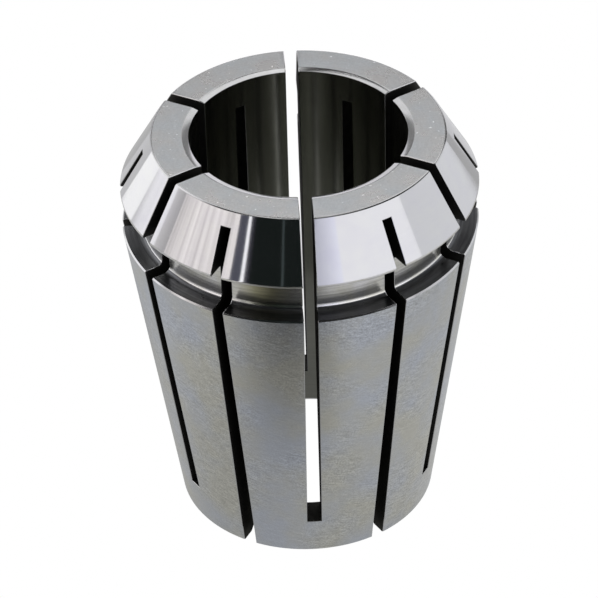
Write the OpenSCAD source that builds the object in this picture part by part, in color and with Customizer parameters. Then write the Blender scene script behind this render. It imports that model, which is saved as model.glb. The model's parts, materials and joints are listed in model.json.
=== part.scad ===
// Spring collet with a straight bore, standing on its rear face with the nose up.
// The origin is the centre of the rear face, and the axis is Z.
// One turned piece: a tapered body, a groove for the nut's extractor ring, and a short nose cone.
// Saw slots from both ends, set between each other, let the wall spring in all round.

/* [Body] */
// Length from the rear face to the nose face
collet_len = 40; // [36:0.5:46]
// Diameter of the body taper where it meets the shoulder
body_d = 33; // [32:0.1:36]
// Half angle of the body taper, in degrees
taper_angle = 8; // [5:0.5:9]
// Edge chamfer round the top of the shoulder
shoulder_chamfer = 0.1; // [0.05:0.05:0.6]
// Edge chamfer round the rear face
rear_chamfer = 0.15; // [0.1:0.05:0.5]

/* [Nose] */
// Length from the nose face down to the groove
nose_len = 5.5; // [4.5:0.1:7]
// Diameter over the lip at the foot of the nose cone
lip_d = 33; // [32:0.1:34]
// Height of the lip, from the groove to the foot of the nose cone
lip_land = 0.25; // [0.2:0.05:1]
// Radius that rounds the lip's lower edge
lip_round = 0.15; // [0.05:0.05:0.15]
// Half angle of the nose cone, in degrees
nose_angle = 30; // [20:1:38]
// Edge break round the nose face
face_break = 0.1; // [0.05:0.05:0.5]

/* [Groove] */
// Width of the groove between the lip and the shoulder
groove_w = 3.7; // [2.5:0.1:5]
// Diameter at the bottom of the groove
groove_d = 29.2; // [26:0.1:30.5]
// Radius of the fillet at the foot of the groove's wall
groove_foot_fillet = 0.6; // [0.2:0.05:1]
// Radius of the fillet at the top of the groove's wall, under the lip
groove_top_fillet = 0.2; // [0.1:0.05:0.5]

/* [Bore] */
// Diameter of the clamping bore
bore_d = 20; // [12:0.5:21]
// Width of the shallow chamfer round the nose end of the bore
bore_nose_chamfer_w = 0.6; // [0.2:0.05:1]
// Depth of that chamfer below the nose face
bore_nose_chamfer_h = 0.15; // [0.1:0.05:0.5]
// Chamfer at the rear end of the bore
bore_rear_chamfer = 0.65; // [0.2:0.05:1]

/* [Nose slots] */
// Width at the nose face
nose_slot_face_w = 1.2; // [0.6:0.05:1.6]
// Width at the closed end
nose_slot_end_w = 1.35; // [0.6:0.05:1.6]
// Metal left between the closed end and the rear face, on the outside
nose_slot_web = 4.1; // [2:0.1:8]
// Distance from the collet's axis to the saw's own axis
nose_saw_axis = 12; // [11:0.1:22]

/* [Rear slots] */
// Width at the rear face
rear_slot_rear_w = 1.25; // [0.6:0.05:1.6]
// Width at the closed end
rear_slot_end_w = 0.95; // [0.6:0.05:1.6]
// Metal left between the closed end and the nose face, on the outside
rear_slot_web = 1.35; // [1:0.1:3]
// Distance from the collet's axis to the saw's own axis
rear_saw_axis = 20.6; // [11:0.1:22]

/* [Slotting] */
// How many slots are sawn from each end
slots_per_end = 6; // [3:1:8]
// Diameter of the saw, whose rim shapes the closed ends
saw_d = 50; // [50:1:100]

/* [Hidden] */
$fn = 180;

// Radii
body_r = body_d / 2;
lip_r = lip_d / 2;
groove_r = groove_d / 2;
bore_r = bore_d / 2;
saw_r = saw_d / 2;

// Heights above the rear face
groove_top = collet_len - nose_len;
shoulder_z = groove_top - groove_w;
cone_foot = groove_top + lip_land;

// How far the cutters pass outside the metal
clear = 2;

// Angle of the first nose slot, and the step from one to the next. Rear slots lie halfway between.
first_slot = 270;
slot_step = 360 / slots_per_end;

// Angle of the seam of the turned surfaces, in the metal midway between two slots
seam = first_slot + slot_step / 4;

// Outside radius of the body taper at a height
function taper_r(z) = body_r - (shoulder_z - z) * tan(taper_angle);

// Outside radius of the nose cone at a height
function cone_r(z) = lip_r - (z - cone_foot) * tan(nose_angle);

// Half of the collet's section before slotting, with sharp corners at the groove
module turned_outline() {
    polygon([
        [bore_r + bore_rear_chamfer, 0],
        [taper_r(0) - rear_chamfer, 0],
        [taper_r(rear_chamfer), rear_chamfer],
        [taper_r(shoulder_z - shoulder_chamfer), shoulder_z - shoulder_chamfer],
        [body_r - shoulder_chamfer, shoulder_z],
        [groove_r, shoulder_z],
        [groove_r, groove_top],
        [lip_r, groove_top],
        [lip_r, cone_foot],
        [cone_r(collet_len - face_break), collet_len - face_break],
        [cone_r(collet_len) - face_break, collet_len],
        [bore_r + bore_nose_chamfer_w, collet_len],
        [bore_r, collet_len - bore_nose_chamfer_h],
        [bore_r, bore_rear_chamfer]
    ]);
}

// What lies between a square corner at the origin, open to +X and +Y, and the arc of radius r that rounds it
module corner_piece(r) {
    difference() {
        square(r);
        translate([r, r])
            circle(r = r);
    }
}

// The turned piece before slotting
module turned_blank() {
    rotate(seam)
        rotate_extrude()
            union() {
                difference() {
                    turned_outline();
                    translate([lip_r, groove_top])
                        mirror([1, 0])
                            corner_piece(lip_round);
                }
                translate([groove_r, shoulder_z])
                    corner_piece(groove_foot_fillet);
                translate([groove_r, groove_top])
                    mirror([0, 1])
                        corner_piece(groove_top_fillet);
            }
}

// One saw slot along +X, from its open end at open_z to its closed end at end_z.
// end_r is the outside radius at the closed end, and saw_axis the saw's distance from Z.
module saw_slot(open_z, open_w, end_z, end_w, end_r, saw_axis) {
    way = sign(open_z - end_z);
    saw_z = end_z + way * sqrt(pow(saw_r, 2) - pow(end_r - saw_axis, 2));
    flare = (open_w - end_w) / 2 / (open_z - end_z);
    far_z = open_z + way * clear;
    deep_z = end_z - way * clear;
    far_half = open_w / 2 + flare * (far_z - open_z);
    deep_half = end_w / 2 + flare * (deep_z - end_z);
    reach = max(body_r, lip_r) + clear;
    run = abs(far_z - saw_z);
    intersection() {
        // The gap between the slot's two side walls
        translate([bore_r - clear, 0, 0])
            rotate([90, 0, 90])
                linear_extrude(reach - bore_r + clear)
                    polygon([
                        [-deep_half, deep_z],
                        [deep_half, deep_z],
                        [far_half, far_z],
                        [-far_half, far_z]
                    ]);
        // The way of the saw, seen from the side
        rotate([90, 0, 0])
            linear_extrude(max(open_w, end_w) + clear, center = true)
                union() {
                    translate([saw_axis, saw_z])
                        circle(r = saw_r);
                    translate([0, min(saw_z, far_z)])
                        square([saw_axis + saw_r, run]);
                }
    }
}

module collet() {
    color([0.73, 0.74, 0.76])
        difference() {
            turned_blank();
            for (i = [0 : slots_per_end - 1])
                rotate(first_slot + i * slot_step)
                    saw_slot(
                        open_z = collet_len,
                        open_w = nose_slot_face_w,
                        end_z = nose_slot_web,
                        end_w = nose_slot_end_w,
                        end_r = taper_r(nose_slot_web),
                        saw_axis = nose_saw_axis
                    );
            for (i = [0 : slots_per_end - 1])
                rotate(first_slot + (i + 0.5) * slot_step)
                    saw_slot(
                        open_z = 0,
                        open_w = rear_slot_rear_w,
                        end_z = collet_len - rear_slot_web,
                        end_w = rear_slot_end_w,
                        end_r = cone_r(collet_len - rear_slot_web),
                        saw_axis = rear_saw_axis
                    );
        }
}

collet();
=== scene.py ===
import bpy
import bmesh
import json
import math
from mathutils import Matrix, Vector


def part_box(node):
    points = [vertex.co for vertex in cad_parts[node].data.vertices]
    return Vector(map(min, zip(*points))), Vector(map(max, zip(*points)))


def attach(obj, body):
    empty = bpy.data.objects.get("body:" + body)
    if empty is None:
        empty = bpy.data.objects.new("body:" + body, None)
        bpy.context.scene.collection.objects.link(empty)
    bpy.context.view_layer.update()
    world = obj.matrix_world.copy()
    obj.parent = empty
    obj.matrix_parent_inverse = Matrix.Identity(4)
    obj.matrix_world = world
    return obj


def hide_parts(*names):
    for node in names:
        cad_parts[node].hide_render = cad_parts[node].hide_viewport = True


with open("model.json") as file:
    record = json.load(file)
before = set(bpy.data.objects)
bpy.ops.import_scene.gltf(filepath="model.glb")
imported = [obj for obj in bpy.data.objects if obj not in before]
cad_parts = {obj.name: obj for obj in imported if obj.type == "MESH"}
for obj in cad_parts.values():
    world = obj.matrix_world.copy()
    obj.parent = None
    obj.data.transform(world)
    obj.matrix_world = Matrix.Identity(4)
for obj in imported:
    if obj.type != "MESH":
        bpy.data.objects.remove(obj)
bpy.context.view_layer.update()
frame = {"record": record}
print("frame loaded")

metre = 1000  # millimetres in a metre
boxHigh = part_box("collet")[1]

# The collet, in millimetres and degrees. Its length and widest radius come from the frame.
colletSizes = {
    "length": boxHigh.z * metre,
    "bodyRadius": boxHigh.x * metre,
    "boreRadius": frame["record"]["mounts"][0]["dims"]["r_mm"],
    "taperAngle": 8,
    "noseAngle": 30,
    "noseLength": 5.5,
    "lipLand": 0.25,
    "lipRound": 0.15,
    "grooveWidth": 3.7,
    "grooveRadius": 14.6,
    "footFillet": 0.6,       # in the groove's lower corner
    "topFillet": 0.2,        # in its upper corner, under the lip
    "shoulderChamfer": 0.14,
    "rearChamfer": 0.15,
    "faceBreak": 0.14,
    "mouthWidth": 0.6,       # the shallow chamfer round the nose end of the bore
    "mouthDepth": 0.15,
    "mouthBreak": 0.1,       # where that chamfer meets the face
    "rearBoreChamfer": 0.65,
    "softBreak": 0.08,       # turned corners that are only stroked with a stone
    "slotBreak": 0.055,      # the deburred edges of the slots
    "slotsPerEnd": 6,
    "firstSlot": 270,        # a slot from the nose faces -Y
    "sawRadius": 25,
    "columns": 15,           # strips of mesh from one slot to the next
    "rimSteps": 10,          # points along the saw's rim at a closed end
    "breakSegments": 2,
    "smoothAngle": 20,       # faces that meet at less than this are shaded as one
    "weld": 0.001,           # points nearer than this become one
}

# The two kinds of slot: width at the open and the closed end, metal left beyond the closed end on
# the outside, and the saw's distance from the axis
noseSlot = {"openWidth": 1.2, "endWidth": 1.35, "web": 4.1, "sawAxis": 12}
rearSlot = {"openWidth": 1.25, "endWidth": 0.95, "web": 1.35, "sawAxis": 20.6}

size = colletSizes
grooveTop = size["length"] - size["noseLength"]
shoulderHeight = grooveTop - size["grooveWidth"]
coneFoot = grooveTop + size["lipLand"]
tiny = 0.01  # heights and radii nearer than this count as equal


def taperRadius(height):
    slope = math.tan(math.radians(size["taperAngle"]))
    return size["bodyRadius"] - (shoulderHeight - height) * slope


def coneRadius(height):
    slope = math.tan(math.radians(size["noseAngle"]))
    return size["bodyRadius"] - (height - coneFoot) * slope


def sawDrop(slot, radius):
    # How far the saw's rim lies above or below its own axis at a radius of the collet
    return math.sqrt(size["sawRadius"] ** 2 - (radius - slot["sawAxis"]) ** 2)


def settleSlot(slot, openHeight, endHeight, endRadius, way):
    # way is 1 for a slot that opens upwards and -1 for one that opens downwards
    slot["open"] = openHeight
    slot["end"] = endHeight
    slot["way"] = way
    slot["endRadius"] = endRadius
    slot["sawHeight"] = endHeight + way * sawDrop(slot, endRadius)


def halfWidth(slot, height):
    share = (height - slot["end"]) / (slot["open"] - slot["end"])
    return (slot["endWidth"] + (slot["openWidth"] - slot["endWidth"]) * share) / 2


def slotFloor(slot, radius):
    # Height of the closed end, which follows the saw's rim
    return slot["sawHeight"] - slot["way"] * sawDrop(slot, radius)


rearSlotEnd = size["length"] - rearSlot["web"]
settleSlot(noseSlot, size["length"], noseSlot["web"], taperRadius(noseSlot["web"]), 1)
settleSlot(rearSlot, 0, rearSlotEnd, coneRadius(rearSlotEnd), -1)


def sectionCorners():
    # Radius, height, break and its segments for each corner of the turned section
    soft = size["softBreak"]
    bore = size["boreRadius"]
    return [
        (bore, 0, size["rearBoreChamfer"], 1),
        (taperRadius(0), 0, size["rearChamfer"], 1),
        (noseSlot["endRadius"], noseSlot["end"], 0, 0),
        (size["bodyRadius"], shoulderHeight, size["shoulderChamfer"], 1),
        (size["grooveRadius"], shoulderHeight, size["footFillet"], 8),
        (size["grooveRadius"], grooveTop, size["topFillet"], 6),
        (size["bodyRadius"], grooveTop, size["lipRound"], 5),
        (size["bodyRadius"], coneFoot, soft, 3),
        (rearSlot["endRadius"], rearSlot["end"], 0, 0),
        (coneRadius(size["length"]), size["length"], size["faceBreak"], 4),
        (bore + size["mouthWidth"], size["length"], size["mouthBreak"], 4),
        (bore, size["length"] - size["mouthDepth"], soft / 2, 3),
        (bore, slotFloor(rearSlot, bore), 0, 0),
        (bore, slotFloor(noseSlot, bore), 0, 0),
    ]


def turnedSection():
    bm = bmesh.new()
    corners = []
    for radius, height, cut, segments in sectionCorners():
        corners.append((bm.verts.new((radius, 0, height)), cut, segments))
    face = bm.faces.new([corner[0] for corner in corners])
    for vert, cut, segments in corners:
        if cut:
            bmesh.ops.bevel(bm, geom=[vert], offset=cut, offset_type="OFFSET", segments=segments,
                            profile=0.5, affect="VERTICES", clamp_overlap=False, material=-1)
    bmesh.ops.delete(bm, geom=bm.faces[:], context="FACES_ONLY")
    return bm


def radiusOf(place):
    return math.hypot(place.x, place.y)


def nearestVert(verts, radius, height):
    return min(verts, key=lambda v: math.hypot(radiusOf(v.co) - radius, v.co.z - height))


# What the "sawn" layer of the mesh says of a face. The turned faces have 0.
sawnWall = 1
brokenEdge = 2


def closeSide(bm, slot, verts, side, plane, sawn):
    # One side of the sector: the slot's wall, its floor, and the metal left beyond its closed end
    chosen = set(verts)
    edges = [e for e in bm.edges if e.verts[0] in chosen and e.verts[1] in chosen]
    wall = bmesh.ops.contextual_create(bm, geom=edges)["faces"][0]
    bore = size["boreRadius"]
    outer = nearestVert(verts, slot["endRadius"], slot["end"])
    inner = nearestVert(verts, bore, slotFloor(slot, bore))
    steps = size["rimSteps"]
    turn = Matrix.Rotation(plane, 3, "Z")
    rim = []
    for i in range(1, steps):
        radius = slot["endRadius"] + (bore - slot["endRadius"]) * i / steps
        height = slotFloor(slot, radius)
        rim.append(turn @ Vector((radius, side * halfWidth(slot, height), height)))
    other = bmesh.utils.face_split(wall, outer, inner, coords=rim)[0]
    low, high = sorted((wall, other), key=lambda f: f.calc_center_median().z)
    web, wall = (low, high) if slot["way"] > 0 else (high, low)
    wall[sawn] = sawnWall
    rimEdges = [e for e in web.edges if e in set(wall.edges)]
    made = bmesh.ops.extrude_face_region(bm, geom=[web])
    newVerts = [g for g in made["geom"] if isinstance(g, bmesh.types.BMVert)]
    caps = [g for g in made["geom"] if isinstance(g, bmesh.types.BMFace)]
    for v in newVerts:
        v.co = turn @ Vector((radiusOf(v.co), 0, v.co.z))
    for e in rimEdges:
        for f in e.link_faces:
            if f not in (web, wall):
                f[sawn] = sawnWall
    bmesh.ops.delete(bm, geom=caps + [web], context="FACES_ONLY")


def turnedSector(bm, sawn):
    # From the middle of a nose slot to the middle of the next rear slot
    sector = math.pi / size["slotsPerEnd"]
    bmesh.ops.spin(bm, geom=bm.verts[:] + bm.edges[:], cent=(0, 0, 0), axis=(0, 0, 1), dvec=(0, 0, 0),
                   angle=sector, steps=size["columns"], use_merge=False, use_duplicate=False)
    margin = 0.001  # as a share of the sector
    first, last = [], []
    for v in bm.verts:
        radius = radiusOf(v.co)
        share = math.atan2(v.co.y, v.co.x) / sector
        if share < margin:
            first.append(v)
        if share > 1 - margin:
            last.append(v)
        start = math.asin(halfWidth(noseSlot, v.co.z) / radius)
        end = sector - math.asin(halfWidth(rearSlot, v.co.z) / radius)
        angle = start + (end - start) * share
        v.co = Vector((radius * math.cos(angle), radius * math.sin(angle), v.co.z))
    closeSide(bm, noseSlot, first, 1, 0, sawn)
    closeSide(bm, rearSlot, last, -1, sector, sawn)


def wholeTurn(bm):
    # The sector and its mirror image, copied round the axis
    bmesh.ops.mirror(bm, geom=bm.verts[:] + bm.edges[:] + bm.faces[:], matrix=Matrix(),
                     merge_dist=size["weld"], axis="Y")
    cell = bm.verts[:] + bm.edges[:] + bm.faces[:]
    step = 2 * math.pi / size["slotsPerEnd"]
    for i in range(1, size["slotsPerEnd"]):
        copy = bmesh.ops.duplicate(bm, geom=cell)["geom"]
        verts = [g for g in copy if isinstance(g, bmesh.types.BMVert)]
        bmesh.ops.rotate(bm, verts=verts, cent=(0, 0, 0), matrix=Matrix.Rotation(step * i, 3, "Z"))
    bmesh.ops.remove_doubles(bm, verts=bm.verts[:], dist=size["weld"])
    bmesh.ops.recalc_face_normals(bm, faces=bm.faces[:])
    turn = Matrix.Rotation(math.radians(size["firstSlot"]), 3, "Z")
    bmesh.ops.rotate(bm, verts=bm.verts[:], cent=(0, 0, 0), matrix=turn)


def breakSlotEdges(bm, sawn):
    edges = []
    for e in bm.edges:
        if len(e.link_faces) == 2 and e.link_faces[0][sawn] != e.link_faces[1][sawn]:
            edges.append(e)
    made = bmesh.ops.bevel(bm, geom=edges, offset=size["slotBreak"], offset_type="OFFSET",
                           segments=size["breakSegments"], profile=0.5, affect="EDGES",
                           clamp_overlap=False, material=-1)
    print("slot edges broken:", len(edges))
    for f in made["faces"]:
        f[sawn] = brokenEdge


zones = ["taper", "face", "cone", "groove", "shoulder", "bore", "sawn", "edge"]


def zoneOf(face, sawn):
    # Which finish a face of the mesh gets, from where it lies
    if face[sawn]:
        return "sawn" if face[sawn] == sawnWall else "edge"
    centre = face.calc_center_median()
    radius = radiusOf(centre)
    height = centre.z
    rise = face.normal.z  # 1 where the face looks straight up
    if rise > 0.99 and height > size["length"] - tiny:
        return "face"
    if radius < size["boreRadius"] + tiny:
        return "bore"
    mouth = size["boreRadius"] + size["rearBoreChamfer"]
    if radius < mouth or height > size["length"] - size["faceBreak"]:
        return "edge"
    if height > coneFoot + size["softBreak"] / 2:
        return "cone"
    if height > shoulderHeight - tiny:
        # Strips of the foot fillet that face up take the shaded shoulder's finish: painted shade that
        # narrows their bright line.
        low = height < shoulderHeight + size["footFillet"]
        return "shoulder" if low and rise > 0.5 else "groove"
    if height > shoulderHeight - size["shoulderChamfer"]:
        return "edge"
    return "taper"


def placeMesh(bm, name):
    # A finished mesh becomes an object at the origin
    mesh = bpy.data.meshes.new(name)
    bm.to_mesh(mesh)
    bm.free()
    obj = bpy.data.objects.new(name, mesh)
    bpy.context.scene.collection.objects.link(obj)
    return obj


def buildCollet():
    bm = turnedSection()
    sawn = bm.faces.layers.int.new("sawn")
    turnedSector(bm, sawn)
    wholeTurn(bm)
    print("collet volume in cubic millimetres:", round(bm.calc_volume(signed=True), 1))
    breakSlotEdges(bm, sawn)
    for f in bm.faces:
        f.smooth = True
        f.material_index = zones.index(zoneOf(f, sawn))
    sharp = math.radians(size["smoothAngle"])
    for e in bm.edges:
        e.smooth = len(e.link_faces) == 2 and e.calc_face_angle() < sharp
    openEdges = [e for e in bm.edges if len(e.link_faces) != 2]
    print("open edges:", len(openEdges), "faces:", len(bm.faces))
    bmesh.ops.scale(bm, vec=(1 / metre, 1 / metre, 1 / metre), verts=bm.verts[:])
    obj = placeMesh(bm, "colletBody")
    weighted = obj.modifiers.new("flatFaces", "WEIGHTED_NORMAL")
    weighted.mode = "FACE_AREA"
    weighted.weight = 100
    weighted.keep_sharp = True
    return obj


# The finishes of the steel, in millimetres. Shade and stain are the steel's two colours, and
# stainShare is how far the stains go from one to the other. Marks run round the collet: "round" lie
# one above the other up the axis, and "rings" one inside the other as well. Tilt leans them.
# Stretch is how far they draw out the gloss across themselves. Glint, grit and specks are the light
# that marks, grain and dust catch. Patches are places with more or fewer marks, spot is a place that
# takes the stain colour, darker and more olive, and grazing is the tint of the gloss seen at a low
# angle.
finishes = {
    "taper": {
        "shade": (0.52, 0.55, 0.605), "stain": (0.56, 0.557, 0.505),
        "stainSize": 6.0, "stainShare": 1.0, "roughness": 0.25, "stretch": 0.2,
        "marks": "round", "markPitch": 0.18, "markLength": 0.8, "markDepth": 0.0028, "tilt": 0.25,
        "grain": 0.16, "grainDepth": 0.0065, "glint": 0.15, "grit": 0.15, "patches": 7.0},
    "face": {
        "shade": (0.565, 0.555, 0.55), "stain": (0.54, 0.56, 0.58),
        "stainSize": 3.0, "stainShare": 1.0, "roughness": 0.28, "stretch": 0.0,
        "marks": "rings", "markPitch": 0.3, "markLength": 1.5, "markDepth": 0.0005, "tilt": 0.0,
        "grain": 0.15, "grainDepth": 0.0045, "glint": 0.03, "grit": 0.06, "specks": 0.6},
    "cone": {
        "shade": (0.56, 0.56, 0.565), "stain": (0.545, 0.54, 0.57),
        "stainSize": 1.6, "stainShare": 0.6, "roughness": 0.105, "stretch": 1.0,
        "marks": "round", "markPitch": 0.08, "markLength": 8.0, "markDepth": 0.0, "tilt": 0.0,
        "grain": 0.3, "grainDepth": 0.00015, "glint": 0.01},
    # The groove's shade is brighter than steel is: painted light, a brightening of what its wall
    # reflects.
    "groove": {
        "shade": (0.72, 0.72, 0.73), "stain": (0.50, 0.48, 0.32),
        "stainSize": 2.0, "stainShare": 0.35, "roughness": 0.22, "stretch": 0.5,
        "marks": "rings", "markPitch": 0.20, "markLength": 14.0, "markDepth": 0.0065, "tilt": 0.0,
        "grain": 0.2, "grainDepth": 0.0006, "glint": 0.14, "spot": (-4.0, -14.0, 32.8)},
    # The shoulder's shade is far darker than steel is: painted shade, for it lies in the groove under
    # the lip.
    "shoulder": {
        "shade": (0.120, 0.123, 0.130), "stain": (0.090, 0.090, 0.095),
        "stainSize": 1.5, "stainShare": 0.6, "roughness": 0.3, "stretch": 0.4,
        "marks": "rings", "markPitch": 0.20, "markLength": 6.0, "markDepth": 0.0040, "tilt": 0.0,
        "grain": 0.2, "grainDepth": 0.0010, "glint": 0.30},
    # The bore's shade is its own olive tone, and darker than steel is as painted shade inside it.
    "bore": {
        "shade": (0.44, 0.445, 0.40), "stain": (0.36, 0.365, 0.325),
        "stainSize": 2.5, "stainShare": 0.5, "roughness": 0.16, "stretch": 0.5,
        "marks": "round", "markPitch": 0.14, "markLength": 6.0, "markDepth": 0.0006, "tilt": 0.0,
        "grain": 0.2, "grainDepth": 0.0005, "glint": 0.05},
    # The slot walls' dark shade, and the dim tint of their gloss at a low angle, are painted shade
    # deep in the slots.
    "sawn": {
        "shade": (0.085, 0.084, 0.079), "stain": (0.050, 0.050, 0.047),
        "stainSize": 1.2, "stainShare": 0.5, "roughness": 0.5, "stretch": 0.0,
        "marks": "round", "markPitch": 0.20, "markLength": 3.0, "markDepth": 0.0015, "tilt": 0.2,
        "grain": 0.15, "grainDepth": 0.0020, "glint": 0.10, "grazing": 0.3},
    "edge": {
        "shade": (0.53, 0.53, 0.54), "stain": (0.49, 0.49, 0.48),
        "stainSize": 1.0, "stainShare": 0.5, "roughness": 0.14, "stretch": 0.0,
        "marks": "round", "markPitch": 0.20, "markLength": 2.0, "markDepth": 0.0, "tilt": 0.0,
        "grain": 0.2, "grainDepth": 0.0004, "glint": 0.03},
}

# How noise, most of which lies between 0.3 and 0.7, becomes stains, marks, patches and dust
textureSettings = {
    "stainDetail": 3.0,
    "markDetail": 2.0,
    "grainDetail": 1.0,        # of patches and folds as well
    "dustDetail": 0.0,
    "blotchEdge": 0.55,        # how ragged blotches are
    "markEdge": 0.6,
    "stainBand": (0.35, 0.65),
    "wholeBand": (0.3, 0.7),
    "patchBand": (0.40, 0.58),
    "patchLeft": 0.3,          # share of marks and grain left in the smoother patches
    "dustBand": (0.78, 0.83),
    "dustSize": 2.2,           # times the grain
    "spotReach": (0.8, 3.5),   # where the spot starts to fade, and where it ends
    "roughShare": (0.9, 1.15),
}


def addNode(tree, kind, feeds=None, **settings):
    # One node: feeds are its sockets' values or the outputs that they take
    node = tree.nodes.new(kind)
    for key, value in settings.items():
        setattr(node, key, value)
    for key, value in (feeds or {}).items():
        if isinstance(value, bpy.types.NodeSocket):
            tree.links.new(value, node.inputs[key])
        else:
            node.inputs[key].default_value = value
    return node


def reckon(tree, operation, first, second):
    node = addNode(tree, "ShaderNodeMath", {0: first, 1: second}, operation=operation)
    return node.outputs["Value"]


def reckonVector(tree, operation, first, second, result="Vector"):
    node = addNode(tree, "ShaderNodeVectorMath", {0: first, 1: second}, operation=operation)
    return node.outputs[result]


def spread(tree, value, band, outBand):
    # Takes a value from one band to another, and holds it at the ends
    feeds = {"Value": value, "From Min": band[0], "From Max": band[1]}
    feeds.update({"To Min": outBand[0], "To Max": outBand[1]})
    return addNode(tree, "ShaderNodeMapRange", feeds, clamp=True).outputs["Result"]


def either(amount):
    return 1 - amount, 1 + amount


def toMetres(values):
    return [value / metre for value in values]


def blotches(tree, place, sizeOf, detail):
    feeds = {"Vector": place, "Scale": metre / sizeOf, "Detail": detail}
    feeds["Roughness"] = textureSettings["blotchEdge"]
    return addNode(tree, "ShaderNodeTexNoise", feeds).outputs["Fac"]


def marksAround(tree, place, look):
    # Fine lines round the axis, much longer than they are wide
    t = textureSettings
    across = reckonVector(tree, "DOT_PRODUCT", place, (look["tilt"], 0, 1), "Value")
    if look["marks"] == "rings":
        flat = reckonVector(tree, "MULTIPLY", place, (1, 1, 0))
        radius = addNode(tree, "ShaderNodeVectorMath", {0: flat}, operation="LENGTH").outputs["Value"]
        across = reckon(tree, "SUBTRACT", across, radius)
    parts = addNode(tree, "ShaderNodeSeparateXYZ", {"Vector": place}).outputs
    feeds = {"X": parts["X"], "Y": parts["Y"], "Z": across}
    joined = addNode(tree, "ShaderNodeCombineXYZ", feeds).outputs["Vector"]
    along = metre / look["markLength"]
    scaled = reckonVector(tree, "MULTIPLY", joined, (along, along, metre / look["markPitch"]))
    feeds = {"Vector": scaled, "Scale": 1.0, "Detail": t["markDetail"], "Roughness": t["markEdge"]}
    return addNode(tree, "ShaderNodeTexNoise", feeds).outputs["Fac"]


def stainedShare(tree, place, look, stain):
    t = textureSettings
    share = spread(tree, stain, t["stainBand"], (0.0, look["stainShare"]))
    if "spot" in look:
        # A place that takes the stain colour all over
        away = reckonVector(tree, "DISTANCE", place, toMetres(look["spot"]), "Value")
        near = spread(tree, away, toMetres(t["spotReach"]), (1.0, 0.0))
        share = reckon(tree, "MAXIMUM", share, near)
    return share


def caughtLight(tree, place, look, marks, grain, clear):
    # Marks, grain and dust that catch a little more or less light
    t = textureSettings
    light = spread(tree, marks, t["wholeBand"], either(look["glint"]))
    if "grit" in look:
        grit = spread(tree, grain, t["wholeBand"], either(look["grit"]))
        light = reckon(tree, "MULTIPLY", light, grit)
    if "patches" in look:
        light = addNode(tree, "ShaderNodeMix", {0: clear, 2: 1.0, 3: light}).outputs[0]
    if "specks" in look:
        dust = blotches(tree, place, look["grain"] * t["dustSize"], t["dustDetail"])
        dust = spread(tree, dust, t["dustBand"], (1.0, 1.0 + look["specks"]))
        light = reckon(tree, "MULTIPLY", light, dust)
    return light


def groundSteel(name, look):
    t = textureSettings
    mat = bpy.data.materials.new(name)
    mat.use_nodes = True
    tree = mat.node_tree
    bsdf = tree.nodes["Principled BSDF"]
    place = addNode(tree, "ShaderNodeTexCoord").outputs["Object"]
    marks = marksAround(tree, place, look)
    stain = blotches(tree, place, look["stainSize"], t["stainDetail"])
    grain = blotches(tree, place, look["grain"], t["grainDetail"])
    clear = 1.0
    if "patches" in look:
        # Marks and grain are stronger in some places than in others
        noise = blotches(tree, place, look["patches"], t["grainDetail"])
        clear = spread(tree, noise, t["patchBand"], (t["patchLeft"], 1.0))

    # Colour
    share = stainedShare(tree, place, look, stain)
    shades = {"Factor": share, "A": look["shade"], "B": look["stain"]}
    mixed = addNode(tree, "ShaderNodeMix", shades, data_type="VECTOR").outputs[1]
    light = caughtLight(tree, place, look, marks, grain, clear)
    shade = addNode(tree, "ShaderNodeVectorMath", {0: mixed, "Scale": light}, operation="SCALE")
    tree.links.new(shade.outputs["Vector"], bsdf.inputs["Base Color"])

    # Gloss
    bsdf.inputs["Metallic"].default_value = 1
    rough = [look["roughness"] * part for part in t["roughShare"]]
    tree.links.new(spread(tree, stain, t["wholeBand"], rough), bsdf.inputs["Roughness"])
    if "grazing" in look:
        tint = look["grazing"]
        bsdf.inputs["Specular Tint"].default_value = (tint, tint, tint, 1)
    if look["stretch"]:
        bsdf.inputs["Anisotropic"].default_value = look["stretch"]
        bsdf.inputs["Anisotropic Rotation"].default_value = 0.25  # a quarter turn, across the marks
        tangent = reckonVector(tree, "CROSS_PRODUCT", (0, 0, 1), place)
        tree.links.new(tangent, bsdf.inputs["Tangent"])

    # Relief
    feeds = {"Height": grain, "Strength": clear, "Distance": look["grainDepth"] / metre}
    relief = addNode(tree, "ShaderNodeBump", feeds).outputs["Normal"]
    if look["markDepth"]:
        feeds = {"Height": marks, "Strength": clear, "Distance": look["markDepth"] / metre}
        feeds["Normal"] = relief
        relief = addNode(tree, "ShaderNodeBump", feeds).outputs["Normal"]
    tree.links.new(relief, bsdf.inputs["Normal"])
    return mat


collet = buildCollet()
for zone in zones:
    collet.data.materials.append(groundSteel(zone + "Steel", finishes[zone]))
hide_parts("collet")
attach(collet, "root")
print("collet built")

# Camera, fitted to the photograph, in millimetres and degrees
cameraSettings = {
    "elevation": 37.399,
    "turn": -2.273,          # the collet was turned the other way under the camera
    "roll": -1.65,
    "distance": 320.971,
    "aside": -0.38,
    "raised": 0.64,
    "nearest": 10,
    "sensor": 36,
    "focal": 3397.5,         # in pixels, of a picture that is 598 wide
    "picture": 598,
}


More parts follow.
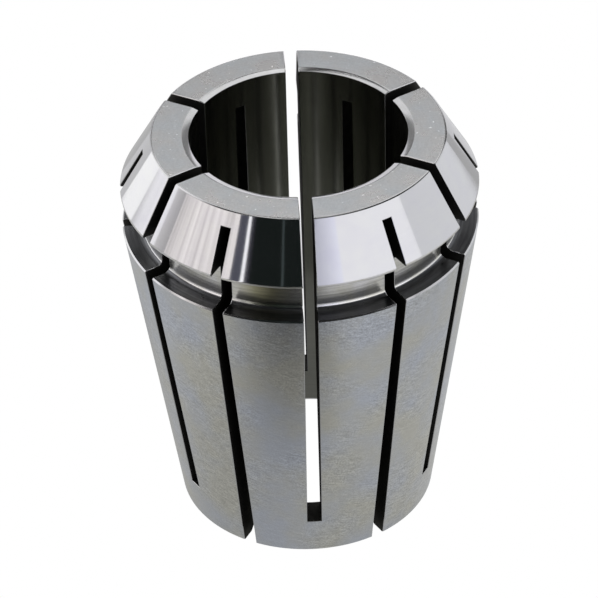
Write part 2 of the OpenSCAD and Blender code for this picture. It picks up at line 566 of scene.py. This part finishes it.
def addCamera():
    s = cameraSettings
    elevation = math.radians(s["elevation"])
    roll = math.radians(s["roll"])
    ahead = Vector((0, math.cos(elevation), -math.sin(elevation)))
    level = Vector((1, 0, 0))
    rise = Vector((0, math.sin(elevation), math.cos(elevation)))
    right = math.cos(roll) * level + math.sin(roll) * rise
    up = -math.sin(roll) * level + math.cos(roll) * rise
    middle = Vector((0, 0, size["length"] / 2))
    target = middle + s["aside"] * right + s["raised"] * up
    place = (target - ahead * s["distance"]) / metre
    axes = Matrix((right, up, -ahead)).transposed().to_4x4()
    data = bpy.data.cameras.new("camera")
    data.sensor_width = s["sensor"]
    data.lens = s["sensor"] * s["focal"] / s["picture"]
    data.clip_start = s["nearest"] / metre
    obj = bpy.data.objects.new("camera", data)
    turn = Matrix.Rotation(math.radians(s["turn"]), 4, "Z")
    obj.matrix_world = turn @ Matrix.Translation(place) @ axes
    bpy.context.scene.collection.objects.link(obj)
    bpy.context.scene.camera = obj


addCamera()
print("camera placed")

# Floor: a light table, in millimetres. Patches are painted shadows on its glow, one under the collet
# and
# the others round it: left is the share of light that stays in the middle, and it grows to all of it
# from the inner to the outer radius.
floorSettings = {
    "half": 3000,
    "glow": 0.58,            # what the steel sees, where 1 is white paper in the picture
    "patches": [
        {"at": (0, 0, 0), "inner": 10, "outer": 11, "left": 0.36},
        {"at": (-10, -49, 0), "inner": 8, "outer": 30, "left": 0.2},
        {"at": (-12, -62, 0), "inner": 10, "outer": 28, "left": 0.1},
        {"at": (-8, 25, 0), "inner": 12, "outer": 26, "left": 0.75},
        {"at": (-12, -16, 0), "inner": 5, "outer": 30, "left": 0.8},
    ],
}


def emptyMaterial(name):
    mat = bpy.data.materials.new(name)
    mat.use_nodes = True
    mat.node_tree.nodes.clear()
    return mat


def floorMaterial():
    mat = emptyMaterial("floorLight")
    tree = mat.node_tree
    place = addNode(tree, "ShaderNodeTexCoord").outputs["Object"]
    light = floorSettings["glow"]
    for paintedShadow in floorSettings["patches"]:
        away = reckonVector(tree, "DISTANCE", place, toMetres(paintedShadow["at"]), "Value")
        share = spread(tree, away, toMetres((paintedShadow["inner"], paintedShadow["outer"])), (paintedShadow["left"], 1))
        light = reckon(tree, "MULTIPLY", light, share)
    # The camera sees it as white as the paper in the photograph
    seen = addNode(tree, "ShaderNodeLightPath").outputs["Is Camera Ray"]
    light = addNode(tree, "ShaderNodeMix", {0: seen, 2: light, 3: 1.0}).outputs[0]
    table = addNode(tree, "ShaderNodeEmission", {"Strength": light}).outputs["Emission"]
    addNode(tree, "ShaderNodeOutputMaterial", {"Surface": table})
    return mat


def addFloor():
    bm = bmesh.new()
    bmesh.ops.create_grid(bm, x_segments=1, y_segments=1, size=floorSettings["half"] / metre)
    obj = placeMesh(bm, "floor")
    obj.data.materials.append(floorMaterial())


addFloor()
print("floor laid")

# Soft cards round the collet, which the camera doesn't see. Azimuth is measured from +X towards +Y
# and elevation from level, both in degrees, as seen from the eye, a place in the middle of the
# nose. A card that would go below the floor lies on it. Glow is the brightness at the first and the
# last azimuth, where 1 is white paper in the picture. A card without a tint is white. Folds are
# upright ones in the cloth, a little brighter and darker.
studioSettings = {
    "distance": 800,         # millimetres, as the next three
    "eye": 37,
    "lift": 2,               # of a card that lies on the floor
    "foldWidth": 40,
    "rows": 16,              # of mesh in a card
    "column": 4,             # its width in degrees
    "dim": 0.02,             # what the steel sees of the room behind the cards
}
cards = {
    "highRight": {"azimuth": (35, 73), "elevation": (47, 80), "glow": (1.2, 1.2)},
    "highBack": {"azimuth": (73, 89), "elevation": (55, 80), "glow": (1.4, 1.4)},
    "highSpot": {"azimuth": (103, 104.5), "elevation": (55, 80), "glow": (2.5, 2.5)},
    "highLeft": {"azimuth": (109, 150), "elevation": (47, 80), "glow": (1.2, 1.2)},
    "highFront": {"azimuth": (190, 350), "elevation": (62, 84), "glow": (1.25, 0.4)},
    "backSeam": {"azimuth": (73, 107), "elevation": (47, 55), "glow": (0.08, 0.08)},
    "backCard": {"azimuth": (40, 120), "elevation": (35, 47), "glow": (1.15, 1.15)},
    "backBand": {"azimuth": (40, 120), "elevation": (20, 35), "glow": (0.3, 0.3)},
    "backLow": {
        "azimuth": (62, 120), "elevation": (4, 20), "glow": (1.25, 0.95),
        "tint": (1.0, 0.99, 1.03)},
    "backFloor": {
        "azimuth": (50, 84), "elevation": (-28, 4), "glow": (0.8, 0.8),
        "tint": (0.99, 0.99, 1.01)},
    "leftEnd": {
        "azimuth": (120, 135), "elevation": (-24, 56), "glow": (0.8, 0.8),
        "tint": (1.0, 1.0, 1.01)},
    "leftCard": {"azimuth": (135, 150), "elevation": (-14, 56), "glow": (1.5, 1.5)},
    "leftInner": {
        "azimuth": (150, 173), "elevation": (-4, 56), "glow": (1.45, 1.45),
        "tint": (0.99, 0.98, 1.01), "folds": 0.1},
    "leftSeam": {
        "azimuth": (173, 181), "elevation": (0, 56), "glow": (0.9, 0.6),
        "tint": (1.0, 0.98, 0.99)},
    "frontLeft": {
        "azimuth": (181, 224.5), "elevation": (0, 33), "glow": (1.22, 1.22),
        "tint": (1.03, 0.98, 0.97), "folds": 0.36},
    "blueShade": {
        "azimuth": (224.5, 230.8), "elevation": (0, 33), "glow": (0.13, 0.13),
        "tint": (0.9, 0.92, 1.2)},
    "thinStrip": {
        "azimuth": (230.8, 232.8), "elevation": (0, 33), "glow": (1.75, 1.75),
        "tint": (1.0, 1.0, 1.02)},
    "darkEdge": {
        "azimuth": (232.8, 236), "elevation": (0, 33), "glow": (0.08, 0.03),
        "tint": (0.95, 0.95, 1.2)},
    "darkGap": {
        "azimuth": (236, 255), "elevation": (-20, 56), "glow": (0.015, 0.015),
        "tint": (0.8, 1.08, 1.0)},
    "faintStreak": {
        "azimuth": (255, 256.4), "elevation": (-20, 56), "glow": (0.09, 0.09),
        "tint": (0.8, 1.0, 1.0)},
    "darkRest": {
        "azimuth": (256.4, 276), "elevation": (-20, 56), "glow": (0.015, 0.015),
        "tint": (0.8, 1.08, 1.0)},
    "frontEdge": {
        "azimuth": (276.5, 292), "elevation": (0, 33), "glow": (0.82, 1.38),
        "tint": (0.94, 0.95, 1.08)},
    "frontRight": {
        "azimuth": (292, 341.5), "elevation": (0, 33), "glow": (1.38, 1.38),
        "tint": (0.99, 0.99, 1.02)},
    "rightCard": {
        "azimuth": (341.5, 402.5), "elevation": (-12, 30), "glow": (1.03, 1.08),
        "tint": (0.98, 0.99, 1.02)},
}


def direction(azimuth, elevation):
    a, e = math.radians(azimuth), math.radians(elevation)
    return Vector((math.cos(a) * math.cos(e), math.sin(a) * math.cos(e), math.sin(e)))


def glowMaterial(name, card):
    mat = emptyMaterial(name)
    tree = mat.node_tree
    along = addNode(tree, "ShaderNodeAttribute", attribute_name="along").outputs["Fac"]
    glow = spread(tree, along, (0, 1), card["glow"])
    if "folds" in card:
        place = addNode(tree, "ShaderNodeTexCoord").outputs["Object"]
        flat = reckonVector(tree, "MULTIPLY", place, (1, 1, 0))
        t = textureSettings
        folds = blotches(tree, flat, studioSettings["foldWidth"], t["grainDetail"])
        share = spread(tree, folds, t["wholeBand"], either(card["folds"]))
        glow = reckon(tree, "MULTIPLY", glow, share)
    tint = card.get("tint", (1.0, 1.0, 1.0))
    light = addNode(tree, "ShaderNodeEmission", {"Color": (*tint, 1), "Strength": glow})
    addNode(tree, "ShaderNodeOutputMaterial", {"Surface": light.outputs["Emission"]})
    return mat


def addCard(name, card):
    # A curved card: a strip of a sphere round the eye
    s = studioSettings
    azFrom, azTo = card["azimuth"]
    elFrom, elTo = card["elevation"]
    bm = bmesh.new()
    upright = []
    for i in range(s["rows"] + 1):
        upright.append(bm.verts.new(direction(azFrom, elFrom + (elTo - elFrom) * i / s["rows"])))
    for low, high in zip(upright, upright[1:]):
        bm.edges.new((low, high))
    steps = max(1, round((azTo - azFrom) / s["column"]))
    bmesh.ops.spin(bm, geom=bm.verts[:] + bm.edges[:], cent=(0, 0, 0), axis=(0, 0, 1), dvec=(0, 0, 0),
                   angle=math.radians(azTo - azFrom), steps=steps, use_merge=False)
    along = bm.verts.layers.float.new("along")
    for v in bm.verts:
        turned = math.degrees(math.atan2(v.co.y, v.co.x)) - azFrom
        turned = (turned + 180) % 360 - 180
        v[along] = turned / (azTo - azFrom)
    reach = s["distance"] / metre
    bmesh.ops.scale(bm, vec=(reach, reach, reach), verts=bm.verts[:])
    lowest = (s["lift"] - s["eye"]) / metre
    for v in bm.verts:
        if v.co.z < lowest:
            v.co *= lowest / v.co.z
    bmesh.ops.translate(bm, vec=(0, 0, s["eye"] / metre), verts=bm.verts[:])
    obj = placeMesh(bm, name)
    obj.visible_camera = False
    obj.data.materials.append(glowMaterial(name, card))


for name, card in cards.items():
    addCard(name, card)
print("cards hung:", len(cards))


def addWorld():
    # The room behind the cards: dim to the steel, and white to the camera
    world = bpy.data.worlds.new("studio")
    bpy.context.scene.world = world
    world.use_nodes = True
    tree = world.node_tree
    tree.nodes.clear()
    white = (1, 1, 1, 1)
    seen = addNode(tree, "ShaderNodeLightPath").outputs["Is Camera Ray"]
    room = addNode(tree, "ShaderNodeBackground", {"Color": white, "Strength": studioSettings["dim"]})
    paper = addNode(tree, "ShaderNodeBackground", {"Color": white, "Strength": 1.0})
    feeds = {"Fac": seen, 1: room.outputs["Background"], 2: paper.outputs["Background"]}
    mixed = addNode(tree, "ShaderNodeMixShader", feeds).outputs["Shader"]
    addNode(tree, "ShaderNodeOutputWorld", {"Surface": mixed})


addWorld()
bpy.context.scene.view_settings.view_transform = "Standard"
print("stage set")
